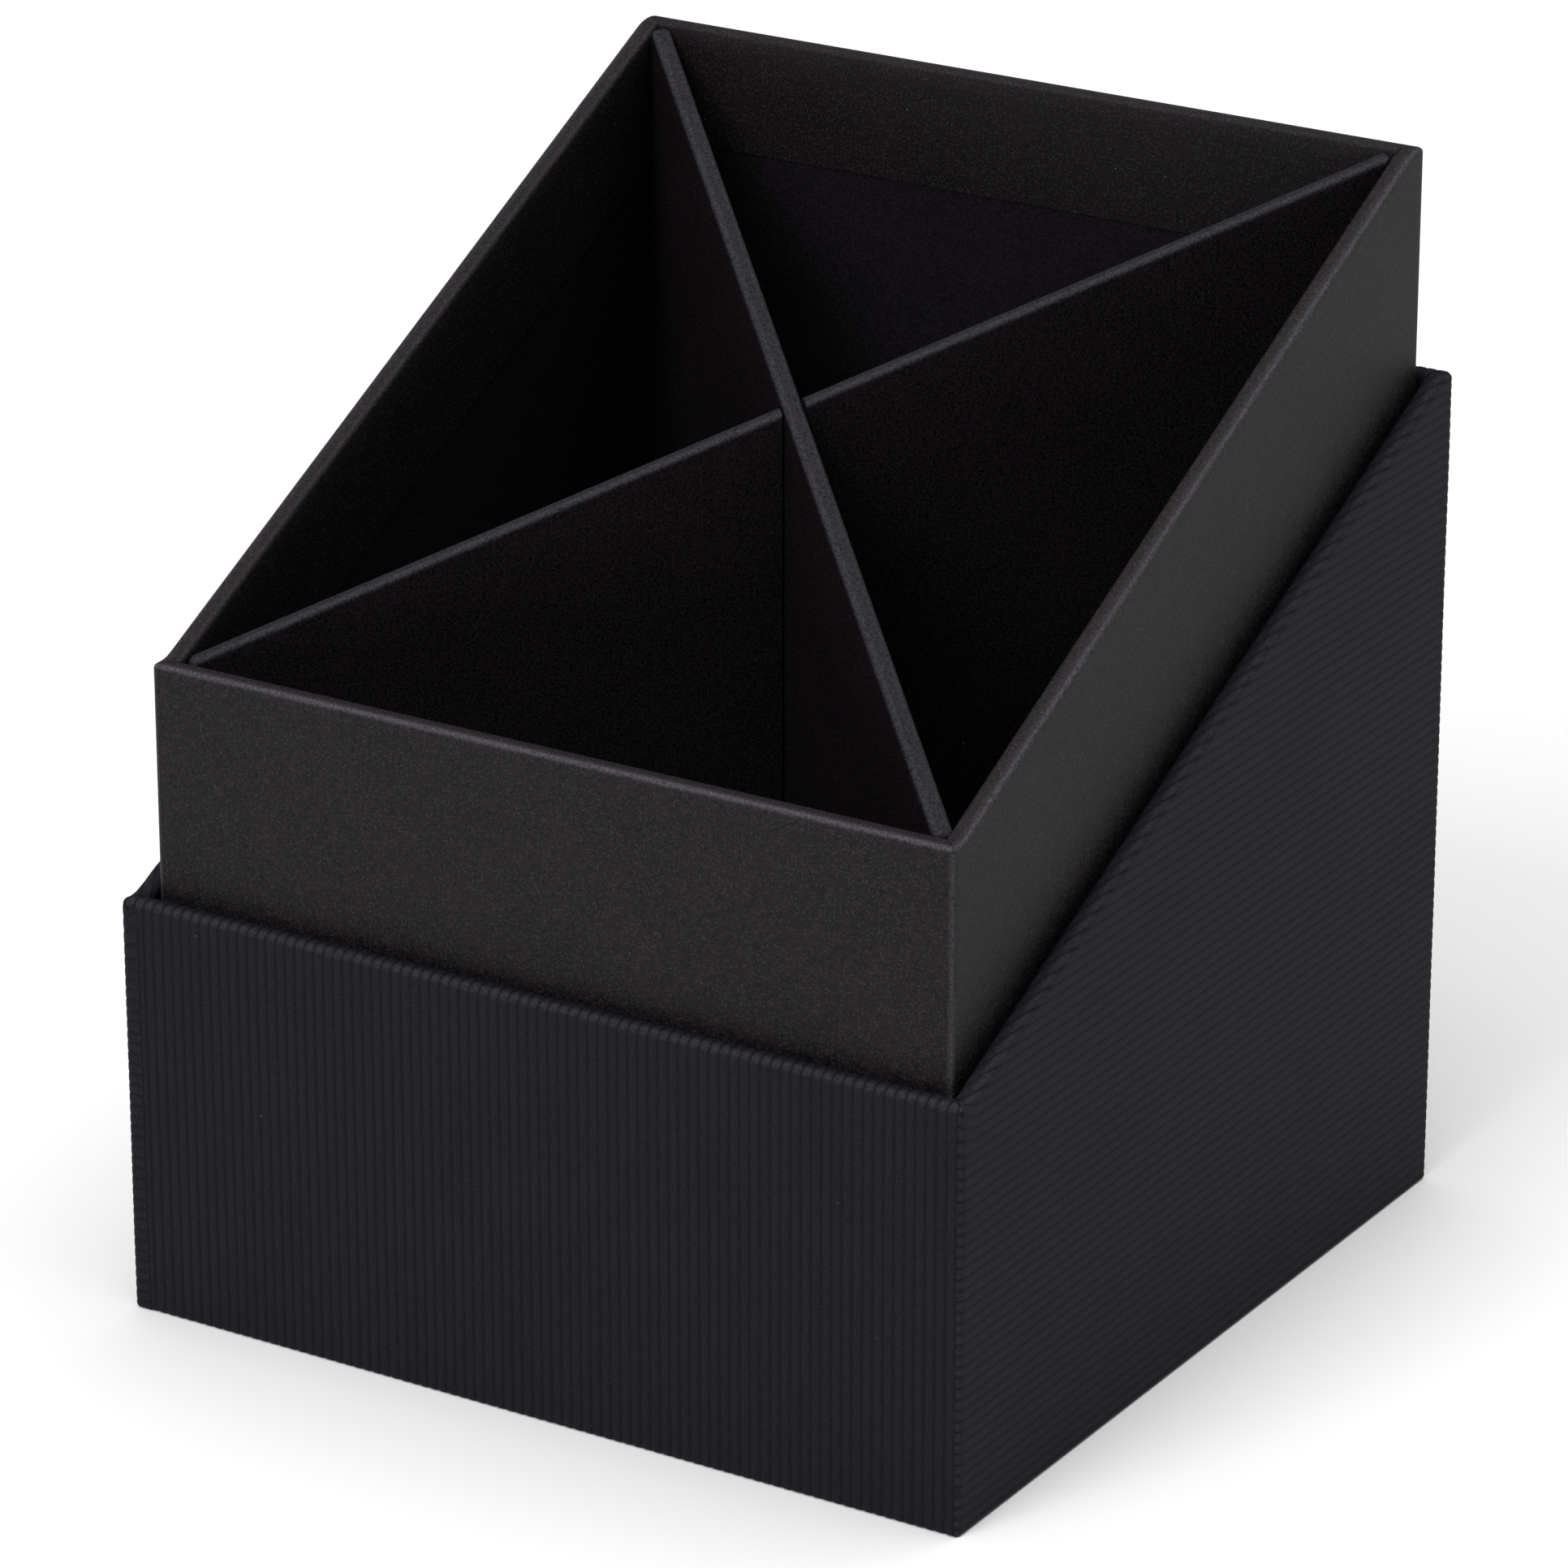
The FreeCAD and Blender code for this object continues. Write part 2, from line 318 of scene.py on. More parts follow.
def scaled(tree, source, low, high):
    """Takes 0 to 1 to another range."""
    spread = put(tree, "ShaderNodeMapRange", {"To Min": low, "To Max": high}, clamp=False)
    wire(tree, (source, spread.inputs["Value"]))
    return spread.outputs["Result"]


def felt_surface(tree, surface, grain, roughness, depth):
    """Lets the grain set the roughness, between two values, and the bump, of a depth in metres."""
    wire(tree, (scaled(tree, grain, *roughness), surface.inputs["Roughness"]))
    bump = put(tree, "ShaderNodeBump", {"Strength": 1.0, "Distance": depth})
    wire(tree, (grain, bump.inputs["Height"]), (bump.outputs["Normal"], surface.inputs["Normal"]))


# %% Black papers
DUST = {"Per metre": 700.0, "Share": 0.02, "Size": 0.07}
DUST_TONE = (0.35, 0.35, 0.36)
FLECK_SIZE = 0.6


def black_paper(name, dark, light, fleck, roughness, gloss, grain_depth, flecks, wear_and_highlight_tint,
                fleck_cells=6500.0, ribbed=False):
    material, tree, surface = new_material(name)
    place = put(tree, "ShaderNodeTexCoord").outputs["Object"]
    fibre = put(tree, "ShaderNodeGroup", node_tree=FIBRE)
    fleck_sizes = {"Per metre": fleck_cells, "Share": flecks, "Size": FLECK_SIZE}
    pearl = put(tree, "ShaderNodeGroup", fleck_sizes, node_tree=SPECKS)
    dust = put(tree, "ShaderNodeGroup", DUST, node_tree=SPECKS)
    wire(tree, *((place, group.inputs["Vector"]) for group in (fibre, pearl, dust)))
    grain = fibre.outputs["Grain"]

    lift = maths(tree, "ADD", scaled(tree, grain, -1.0, 2.0),
                 scaled(tree, fibre.outputs["Clouds"], -0.15, 0.15), clamp=True)
    # Painted highlight and wear, read from the sheets' attribute.
    crease = put(tree, "ShaderNodeAttribute", attribute_name="crease").outputs["Fac"]
    if ribbed:
        crest = put(tree, "ShaderNodeAttribute", attribute_name="crest").outputs["Fac"]
        # Painted shade: the grain tone falls to the dark colour in the rib grooves, and the painted highlight
        # and wear stay on the crests.
        lift = maths(tree, "MULTIPLY", lift, crest)
        crease = maths(tree, "MULTIPLY", crease, crest)
    # Wear and painted highlight: the tone moves towards the last tint where the attribute says, broken up by
    # the grain.
    wear_and_highlight_mix = maths(tree, "MULTIPLY", crease, scaled(tree, grain, -0.5, 1.7), clamp=True)
    worn_and_lit = tone(tree, tone(tree, dark, light, lift), wear_and_highlight_tint, wear_and_highlight_mix)
    flecked = tone(tree, worn_and_lit, fleck, pearl.outputs["Mask"])
    dusty = tone(tree, flecked, DUST_TONE, scaled(tree, dust.outputs["Mask"], 0.0, 0.9))
    wire(tree, (dusty, surface.inputs["Base Color"]))

    surface.inputs["Specular IOR Level"].default_value = gloss
    felt_surface(tree, surface, grain, roughness, grain_depth)
    return material


# The last tint of each paper is its painted highlight and wear colour, laid where the sheets' attribute says.
RIBBED = black_paper("ribbed_black_paper", dark=(0.0028, 0.0026, 0.0044), light=(0.0136, 0.0122, 0.0196),
                     fleck=(0.026, 0.026, 0.032), roughness=(0.62, 0.78), gloss=0.125, grain_depth=0.05 * MM,
                     flecks=0.25, wear_and_highlight_tint=(0.040, 0.039, 0.048), ribbed=True)
PLAIN = black_paper("plain_pearl_paper", dark=(0.0003, 0.0001, 0.0002), light=(0.0150, 0.0113, 0.0146),
                    fleck=(0.055, 0.051, 0.053), roughness=(0.44, 0.68), gloss=0.165, grain_depth=0.05 * MM,
                    flecks=0.34, wear_and_highlight_tint=(0.105, 0.098, 0.110), fleck_cells=4600.0)
# The dividers' paper is a darker copy of the plain paper: painted shade for the dividers inside the box. Its
# last tint is its painted highlight and wear.
SHADED_DIVIDER_PAPER = black_paper("divider_paper", dark=(0.0001, 0.0000, 0.0001), light=(0.0115, 0.0088, 0.0112),
                      fleck=(0.036, 0.030, 0.036), roughness=(0.50, 0.64), gloss=0.05, grain_depth=0.04 * MM,
                      flecks=0.30, wear_and_highlight_tint=(0.070, 0.067, 0.076))
LINING = black_paper("black_lining_paper", dark=(0.0050, 0.0042, 0.0052), light=(0.0150, 0.0124, 0.0150),
                     fleck=(0.036, 0.032, 0.036), roughness=(0.6, 0.8), gloss=0.02, grain_depth=0.05 * MM,
                     flecks=0.30, wear_and_highlight_tint=(0.01, 0.01, 0.01))
print("papers:", ", ".join(paper.name for paper in (RIBBED, PLAIN, SHADED_DIVIDER_PAPER, LINING)))


# %% [markdown]
# ### Greyboard and corner tape
#
# Greyboard is pressed from waste paper: grey-brown, speckled with darker and lighter scraps, and
# layered where it is cut. The corner tape is brown gummed paper. Both hide under the cover and show
# only at the cut edges of the dividers and where pieces are lifted apart.

# %% Board and tape
PULP_GRAIN = {"Grain per metre": 1800.0, "Clouds per metre": 60.0}
PULP_SCRAPS = {"Per metre": 1100.0, "Share": 0.12, "Size": 0.3}
PULP_UNEVEN = 0.08  # how far the roughness strays each way


def pressed_pulp(name, dark, light, scrap, roughness, grain_depth):
    material, tree, surface = new_material(name)
    place = put(tree, "ShaderNodeTexCoord").outputs["Object"]
    fibre = put(tree, "ShaderNodeGroup", PULP_GRAIN, node_tree=FIBRE)
    scraps = put(tree, "ShaderNodeGroup", PULP_SCRAPS, node_tree=SPECKS)
    wire(tree, (place, fibre.inputs["Vector"]), (place, scraps.inputs["Vector"]))
    grain = fibre.outputs["Grain"]
    blend = maths(tree, "MULTIPLY", scaled(tree, grain, 0.2, 1.2),
                  scaled(tree, fibre.outputs["Clouds"], 0.6, 1.3))
    speckled = tone(tree, tone(tree, dark, light, blend), scrap, scraps.outputs["Mask"])
    wire(tree, (speckled, surface.inputs["Base Color"]))
    felt_surface(tree, surface, grain, (roughness - PULP_UNEVEN, roughness + PULP_UNEVEN), grain_depth)
    return material


GREYBOARD = pressed_pulp("greyboard", dark=(0.20, 0.185, 0.16), light=(0.36, 0.34, 0.30),
                         scrap=(0.10, 0.10, 0.11), roughness=0.85, grain_depth=0.06 * MM)
TAPE = pressed_pulp("gummed_tape", dark=(0.26, 0.17, 0.09), light=(0.42, 0.30, 0.17),
                    scrap=(0.20, 0.13, 0.07), roughness=0.6, grain_depth=0.02 * MM)
print("board and tape:", GREYBOARD.name, "and", TAPE.name)

# %% [markdown]
# ## Paper off the roll, with Geometry Nodes
#
# The ribs are embossed in the flat sheet long before it is folded, so they are made flat here too. A
# grid has a few rows across every rib, and each row is pushed down by the rib's profile: a round crest
# and a narrow groove. The rows also wander sideways by a few hundredths of a millimetre, because no
# embossing is perfectly straight. With a relief of nothing, the same tree gives plain paper.

# %% The stock tree
RIB_SHAPE = 3.0  # higher makes the crest broader and the groove narrower
DRIFT = {"Scale": 55.0, "Detail": 2.0}


def stock_tree():
    tree = bpy.data.node_groups.new("Paper stock", "GeometryNodeTree")
    sizes = {"Length": 0.1, "Pitch": 0.001, "Relief": 0.0, "Wander": 0.0, "Seed": 0.0}
    counts = {"Ribs": 10, "Steps per rib": 8, "Columns": 10}
    for name, default in sizes.items():
        tree.interface.new_socket(name, in_out="INPUT", socket_type="NodeSocketFloat").default_value = default
    for name, default in counts.items():
        tree.interface.new_socket(name, in_out="INPUT", socket_type="NodeSocketInt").default_value = default
    tree.interface.new_socket("Paper", in_out="INPUT", socket_type="NodeSocketMaterial")
    tree.interface.new_socket("Sheet", in_out="OUTPUT", socket_type="NodeSocketGeometry")
    given = put(tree, "NodeGroupInput").outputs
    result = put(tree, "NodeGroupOutput")

    width = maths(tree, "MULTIPLY", given["Ribs"], given["Pitch"])
    rows = maths(tree, "MULTIPLY_ADD", given["Ribs"], given["Steps per rib"], 1.0)
    grid = put(tree, "GeometryNodeMeshGrid")
    wire(tree, (given["Length"], grid.inputs["Size X"]), (width, grid.inputs["Size Y"]),
         (given["Columns"], grid.inputs["Vertices X"]), (rows, grid.inputs["Vertices Y"]))
    place = put(tree, "GeometryNodeInputPosition").outputs["Position"]
    parts = put(tree, "ShaderNodeSeparateXYZ")
    wire(tree, (place, parts.inputs["Vector"]))

    across = maths(tree, "DIVIDE", parts.outputs["Y"], given["Pitch"])
    phase = maths(tree, "FRACT", maths(tree, "ADD", across, 1000.0))  # kept above 0 by whole ribs
    from_crest = maths(tree, "ABSOLUTE", maths(tree, "MULTIPLY_ADD", phase, 2.0, -1.0))
    crest = maths(tree, "SUBTRACT", 1.0, maths(tree, "POWER", from_crest, RIB_SHAPE))

    drift = put(tree, "ShaderNodeTexNoise", DRIFT, noise_dimensions="4D")
    wire(tree, (place, drift.inputs["Vector"]), (given["Seed"], drift.inputs["W"]))
    off_line = maths(tree, "SUBTRACT", drift.outputs["Fac"], 0.5)
    sideways = maths(tree, "MULTIPLY", off_line, given["Wander"])
    uneven = maths(tree, "MULTIPLY_ADD", drift.outputs["Fac"], 0.5, 0.75)
    depth = maths(tree, "MULTIPLY", given["Relief"], uneven)
    down = maths(tree, "MULTIPLY", maths(tree, "SUBTRACT", crest, 1.0), depth)
    offset = put(tree, "ShaderNodeCombineXYZ")
    wire(tree, (sideways, offset.inputs["Y"]), (down, offset.inputs["Z"]))

    keep = put(tree, "GeometryNodeStoreNamedAttribute", {"Name": "crest"}, data_type="FLOAT", domain="POINT")
    move = put(tree, "GeometryNodeSetPosition")
    realize = put(tree, "GeometryNodeRealizeInstances")
    paint = put(tree, "GeometryNodeSetMaterial")
    wire(tree, (grid.outputs["Mesh"], keep.inputs["Geometry"]), (crest, keep.inputs["Value"]),
         (keep.outputs["Geometry"], move.inputs["Geometry"]),
         (offset.outputs["Vector"], move.inputs["Offset"]),
         (move.outputs["Geometry"], realize.inputs["Geometry"]),
         (realize.outputs["Geometry"], paint.inputs["Geometry"]), (given["Paper"], paint.inputs["Material"]),
         (paint.outputs["Geometry"], result.inputs["Sheet"]))
    return tree


STOCK = stock_tree()
print(STOCK.name, "tree:", len(STOCK.nodes), "nodes")


# %% Sheets from the tree
def paper_stock(**settings):
    """Plain mesh of a flat sheet: ribs along X, the ribs' crests at height 0."""
    carrier = add_object("stock", bpy.data.meshes.new("stock"))
    modifier = carrier.modifiers.new("stock", "NODES")
    modifier.node_group = STOCK
    for item in STOCK.interface.items_tree:
        if item.in_out == "INPUT" and item.name in settings:
            modifier[item.identifier] = settings[item.name]
    bpy.context.view_layer.update()
    graph = bpy.context.evaluated_depsgraph_get()
    mesh = bpy.data.meshes.new_from_object(carrier.evaluated_get(graph), preserve_all_data_layers=True,
                                           depsgraph=graph)
    bpy.data.objects.remove(carrier)
    return mesh


# %% [markdown]
# ## Cutting and folding
#
# A wall's sheet is laid out flat with `u` along the wall and `w` up it. Folding is a formula: up the
# outside, round over the rim, across the thickness of the wall, round again and down the inside. On
# a side wall the fold line slopes, so the formula works in a frame that leans with it, and the ribs
# cross the rim at the slant that real folded paper gives. The same formula turns the sheet round the
# upright corners and under the foot. Before folding, the sheet is scored along each bend, so that the
# mesh has edges where it needs to curve.

# %% The fold
OUTWARD = {"front": Vector((0, -1, 0)), "back": Vector((0, 1, 0)),
           "left": Vector((-1, 0, 0)), "right": Vector((1, 0, 0))}
ALONG = {"front": Vector((1, 0, 0)), "back": Vector((1, 0, 0)),
         "left": Vector((0, 1, 0)), "right": Vector((0, 1, 0))}
LEVEL_RIMS = ("front", "back")
QUARTER = math.pi / 2
EASE_DEPTH = 5 * MM  # how far below a rim the sheet follows the rim's level ends
LEVEL_EASE = 0.5 * MM  # over what length a side sheet is pulled up to meet the front and back folds
TAB_PULL = 1.2  # how far it is pulled up, as a share of what the lean takes away


def lean_of(box, side):
    """Directions along and across the fold line, in the flat sheet."""
    lean = math.atan(box.fold_line(side)[1])
    return Vector((math.cos(lean), math.sin(lean), 0)), Vector((-math.sin(lean), math.cos(lean), 0))


def round_foot(box, w, lift, inward, height):
    """Turns the lowest part of the sheet under the box."""
    under = box.bottom + FOOT_RADIUS - w
    turn = np.clip(under / FOOT_RADIUS, 0, QUARTER)
    tucked = FOOT_RADIUS * (1 - np.cos(turn)) - lift * np.cos(turn)
    lowered = box.bottom + FOOT_RADIUS - (FOOT_RADIUS + lift) * np.sin(turn)
    return np.where(under > 0, tucked, inward), np.where(under > 0, lowered, height)


def round_corner(box, along, inward):
    """Turns a sheet round the upright corners. Returns places along the wall and out from the middle."""
    end = box.half - box.corner
    past_end = np.maximum(np.abs(along) - end, 0)
    reach = box.corner - inward
    bends = (past_end > 0) & (reach > 0)
    angle = np.minimum(past_end / box.corner, QUARTER)
    beyond = np.maximum(past_end - QUARTER * box.corner, 0)
    out = np.where(bends, end + reach * np.cos(angle) - beyond, box.half - inward)
    return np.where(bends, np.sign(along) * (end + reach * np.sin(angle)), along), out


def fold(box, side, u, w, lift):
    """Places of flat points on the folded sheet. Lift is the height above the sheet's outer face."""
    middle, rise = box.fold_line(side)
    (cos, sin, _), _ = lean_of(box, side)
    along_fold = u * cos + (w - middle) * sin
    past_fold = -u * sin + (w - middle) * cos + box.edge
    level = box.wall - 2 * box.edge
    first = np.clip(past_fold / box.edge, 0, QUARTER)
    across = np.clip(past_fold - QUARTER * box.edge, 0, level)
    second = np.clip((past_fold - QUARTER * box.edge - level) / box.edge, 0, QUARTER)
    down = np.maximum(past_fold - 2 * QUARTER * box.edge - level, 0)
    inward = (box.edge * (1 - np.cos(first) + np.sin(second)) + across - lift * np.cos(first + second))
    upward = (np.minimum(past_fold, 0) - down + lift * np.sin(first + second)
              + box.edge * (np.sin(first) + np.cos(second) - 2))
    along = along_fold * cos - upward * sin
    height = middle + along_fold * sin + upward * cos
    inward, height = round_foot(box, w, lift, inward, height)
    if rise:
        slope_line = middle + along * rise
        near_rim = np.clip(1 + (height - slope_line) / EASE_DEPTH, 0, 1)
        at_end = np.clip((np.abs(along) - box.inside) / LEVEL_EASE, 0, 1)
        pulled_up = TAB_PULL * (1 - cos) * at_end * np.maximum(slope_line - height, 0)
        moved = box.level_ends(along) - slope_line + pulled_up
        height = height + moved * near_rim ** 2 * (3 - 2 * near_rim)
    along, out = round_corner(box, along, inward)
    outward, sideways = OUTWARD[side], ALONG[side]
    x = out * outward.x + along * sideways.x
    y = out * outward.y + along * sideways.y
    return np.stack([x, y, height], axis=1)


# %% [markdown]
# ### Scoring
#
# A plane through the flat mesh splits the faces it crosses. That is how the sheet gets its bend lines,
# and also how it is trimmed to shape.

# %% Scoring and trimming
BEND_STEPS = 6  # facets of a bend over the rim
CORNER_STEPS = 4  # facets of an upright corner
ON_THE_LINE = 1e-7  # a point this near to a cut lies on it


def cut(mesh, point, normal, drop_far=False):
    """Cuts a mesh along a plane, and can drop what lies on the far side."""
    everything = mesh.verts[:] + mesh.edges[:] + mesh.faces[:]
    bmesh.ops.bisect_plane(mesh, geom=everything, plane_co=point, plane_no=normal, dist=ON_THE_LINE,
                           clear_outer=drop_far)


def steps(start, stop, count):
    return [start + (stop - start) * index / count for index in range(count + 1)]


def corner_places(box, side):
    """Distances from the middle of a wall at which the sheet bends near its ends."""
    turn = QUARTER * box.corner
    places = [box.half - box.corner + past for past in steps(0, turn, CORNER_STEPS)]
    if box.fold_line(side)[1]:
        places += [box.inside + past for past in steps(-RIM_EASE, RIM_EASE, 3)]
    return sorted(places)


def score_face(mesh, box, side, ends):
    """The outside of a wall: bends at the foot and the corners. Ends are how far it reaches each way."""
    lowest = box.bottom + FOOT_RADIUS * (1 - QUARTER)
    cut(mesh, (0, lowest, 0), (0, -1, 0), drop_far=True)
    for height in steps(lowest, box.bottom + FOOT_RADIUS, 3)[1:]:
        cut(mesh, (0, height, 0), (0, 1, 0))
    for way, end in zip((-1, 1), ends):
        cut(mesh, (way * end, 0, 0), (way, 0, 0), drop_far=True)
        for place in corner_places(box, side):
            cut(mesh, (way * place, 0, 0), (way, 0, 0))
    middle, _ = box.fold_line(side)
    _, across_fold = lean_of(box, side)
    for depth in steps(0, EASE_DEPTH, 5)[1:]:
        cut(mesh, Vector((0, middle - depth, 0)), across_fold)


def score_flap(mesh, box, side):
    """What goes over the rim and down the inside."""
    middle = Vector((0, box.fold_line(side)[0], 0))
    along_fold, across_fold = lean_of(box, side)
    bend = QUARTER * box.edge
    level = box.wall - 2 * box.edge
    hem = 2 * bend + level + TURN_IN - box.edge
    lines = steps(0, bend, BEND_STEPS)[1:] + steps(bend, bend + level, 2)[1:]
    lines += steps(bend + level, 2 * bend + level, BEND_STEPS)[1:] + steps(2 * bend + level, hem, 5)[1:-1]
    cut(mesh, middle + across_fold * (hem - box.edge), across_fold, drop_far=True)
    for distance in lines:
        cut(mesh, middle + across_fold * (distance - box.edge), across_fold)
    for place in corner_places(box, side):
        for way in (-1, 1):
            cut(mesh, middle + along_fold * (way * place / along_fold.x), along_fold * way)


# %% [markdown]
# ## From a folded face to a sheet with thickness
#
# The folded face gets a second layer beneath it and a strip of faces round its edge, so every sheet is
# a closed solid. Along its edge the upper layer draws back by a few hundredths of a millimetre. Where
# two sheets meet, that leaves the fine dark line that mitres and seams show on the real box.

# %% Sheets
FLAT_NOTES = ("u", "w", "relief")  # where a point lay on the flat sheet
KEPT_NOTES = (*FLAT_NOTES, "crest")
SHARP = math.radians(50)  # steeper than this between two faces is an edge, not a curve
BROAD_WAVE = 70  # waves per metre of the paper's slow swell
FINE_WAVE = 230


def gentle_wave(places, amount):
    """Slow outward swell of hand-laid paper, from 0 to about amount."""
    broad = np.array([noise.noise(Vector(place) * BROAD_WAVE) for place in places])
    fine = np.array([noise.noise(Vector(place) * FINE_WAVE) for place in places])
    return amount * np.clip(0.5 + 0.6 * broad + 0.12 * fine, 0, 1.2)


def hem_moves(mesh, seam):
    """How far each open-edge point draws back into its sheet."""
    moves = {}
    for edge in mesh.edges:
        if len(edge.link_faces) != 1:
            continue
        line = (edge.verts[1].co - edge.verts[0].co).normalized()
        inside = edge.link_faces[0].calc_center_median() - edge.verts[0].co
        inside -= line * inside.dot(line)
        for point in edge.verts:
            moves.setdefault(point, []).append(inside.normalized())
    return {point: sum(ways, Vector()) / len(ways) * seam for point, ways in moves.items()}


def close_sheet(mesh, under_places):
    """Adds the underside and the edge of a sheet to its outer face. Twins keep their point's notes."""
    outer_faces = mesh.faces[:]
    rim = [edge.link_loops[0] for edge in mesh.edges if len(edge.link_faces) == 1]
    pairs = [(loop.vert, loop.link_loop_next.vert) for loop in rim]
    twins = {point: mesh.verts.new(place, point) for point, place in zip(mesh.verts[:], under_places)}
    for face in outer_faces:
        mesh.faces.new([twins[point] for point in reversed(face.verts)])
    for start, stop in pairs:
        mesh.faces.new([stop, start, twins[start], twins[stop]])


def note(mesh, label, values):
    """Keeps a value for each point, under a name that the materials can read."""
    layer = mesh.verts.layers.float.get(label) or mesh.verts.layers.float.new(label)
    for point, value in zip(mesh.verts, values):
        point[layer] = value


def finish_piece(mesh, name, material):
    """Object from a bmesh: smooth where it curves, sharp at its cut edges."""
    for label in FLAT_NOTES:
        layer = mesh.verts.layers.float.get(label)
        if layer:
            mesh.verts.layers.float.remove(layer)
    data = bpy.data.meshes.new(name)
    mesh.to_mesh(data)
    mesh.free()
    data.materials.append(material)
    data.polygons.foreach_set("use_smooth", [True] * len(data.polygons))
    data.set_sharp_from_angle(angle=SHARP)
    return add_object(name, data)


def hand_over(piece, box_name, node):
    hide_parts(node)
    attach(piece, box_name)
    print(f"{piece.name}: {len(piece.data.polygons)} faces")


# %% [markdown]
# ### One wall, start to finish
#
# The outside of the wall and the flap over the rim are cut apart along the fold, because they end in
# different shapes: the outside in a straight tab that laps round the corner, the flap in a mitre. The
# mitre is cut after folding, along the upright plane through the corner's diagonal.

# %% Folding and joining the parts
WELD = 0.004 * MM  # the parts' points meet within this along the fold


def folded_part(mesh, box, side, mitre):
    """Folds a flat part. Returns its flat values, one row for each point, and its faces."""
    flat = np.array([(*point.co, point[mesh.verts.layers.float["crest"]]) for point in mesh.verts])
    places = fold(box, side, flat[:, 0], flat[:, 1], np.zeros(len(flat)))
    layers = [mesh.verts.layers.float.new(name) for name in FLAT_NOTES]
    for point, place, row in zip(mesh.verts, places, flat):
        point.co = place
        for layer, value in zip(layers, row[:3]):
            point[layer] = value
    if mitre:
        for way in (-1, 1):
            cut(mesh, (0, 0, 0), ALONG[side] * way - OUTWARD[side], drop_far=True)
    layers = [mesh.verts.layers.float[name] for name in KEPT_NOTES]
    mesh.verts.index_update()
    rows = [(*point.co, *(point[layer] for layer in layers)) for point in mesh.verts]
    faces = [[corner.index for corner in face.verts] for face in mesh.faces]
    return rows, faces


def joined_parts(parts):
    """One mesh from the folded parts, with their flat values kept in layers."""
    whole = bmesh.new()
    for name in KEPT_NOTES:
        whole.verts.layers.float.new(name)
    layers = [whole.verts.layers.float[name] for name in KEPT_NOTES]
    for rows, faces in parts:
        points = []
        for row in rows:
            point = whole.verts.new(row[:3])
            for layer, value in zip(layers, row[3:]):
                point[layer] = value
            points.append(point)
        for face in faces:
            whole.faces.new([points[index] for index in face])
    bmesh.ops.remove_doubles(whole, verts=whole.verts[:], dist=WELD)
    values = np.array([[point[layer] for layer in layers] for point in whole.verts]).T
    return whole, values


# %% Wear and painted highlight
# Wear and painted highlight on the outer bend of each rim: more on the front and back, where the light
# catches the fold.
WEAR_AND_HIGHLIGHT_BEND = {"front": 0.7, "back": 0.7, "left": 0.55, "right": 0.55}  # crease on the outer bend
WEAR_AND_HIGHLIGHT_TOP = 0.05
WEAR_AND_HIGHLIGHT_CORNER = 0.5


def wear_and_highlight_places(box, side, u, past_fold):
    """Where the paper is lightened, part wear and part painted highlight: most on a rim's outer bend, some on
    the upright corners.
    """
    bend = QUARTER * box.edge
    on_top = np.clip(past_fold / bend, 0, 1) * np.clip(2 + (box.wall - past_fold) / bend, 0, 1)
    on_bend = np.clip(1.4 - np.abs(past_fold - 0.55 * bend) / (0.42 * bend), 0, 1)
    off_corner = np.abs(np.abs(u) - box.half + 0.2 * box.corner)
    at_corner = 1 - np.clip(off_corner / (0.75 * box.corner), 0, 1)
    on_rim = WEAR_AND_HIGHLIGHT_TOP * on_top + WEAR_AND_HIGHLIGHT_BEND[side] * on_bend
    return np.maximum(on_rim, WEAR_AND_HIGHLIGHT_CORNER * at_corner * (past_fold < 0))


# %% A wall's cover
STILL_FOOT = 8 * MM  # the swell grows from nothing over this height
RIB_DEPTH = {"front": 1.1, "back": 1.1, "left": 0.65, "right": 0.65}  # share of the relief
PRESSED = 0.25  # share of the relief that folding presses out at the rim
PRESSED_FROM = 0.3 * MM  # how far past the start of the bend that share is reached
PRESSED_OVER = 1.2 * MM  # over what length it grows
SHEET = 0.26 * MM  # paper with its glue
SHEET_EDGE = 0.05 * MM  # the same below the ribs, at a cut edge
NEAR_FOLD = 0.02 * MM
SEAM_BELOW_RIM = 0.12  # share of the seam that shows on the outside


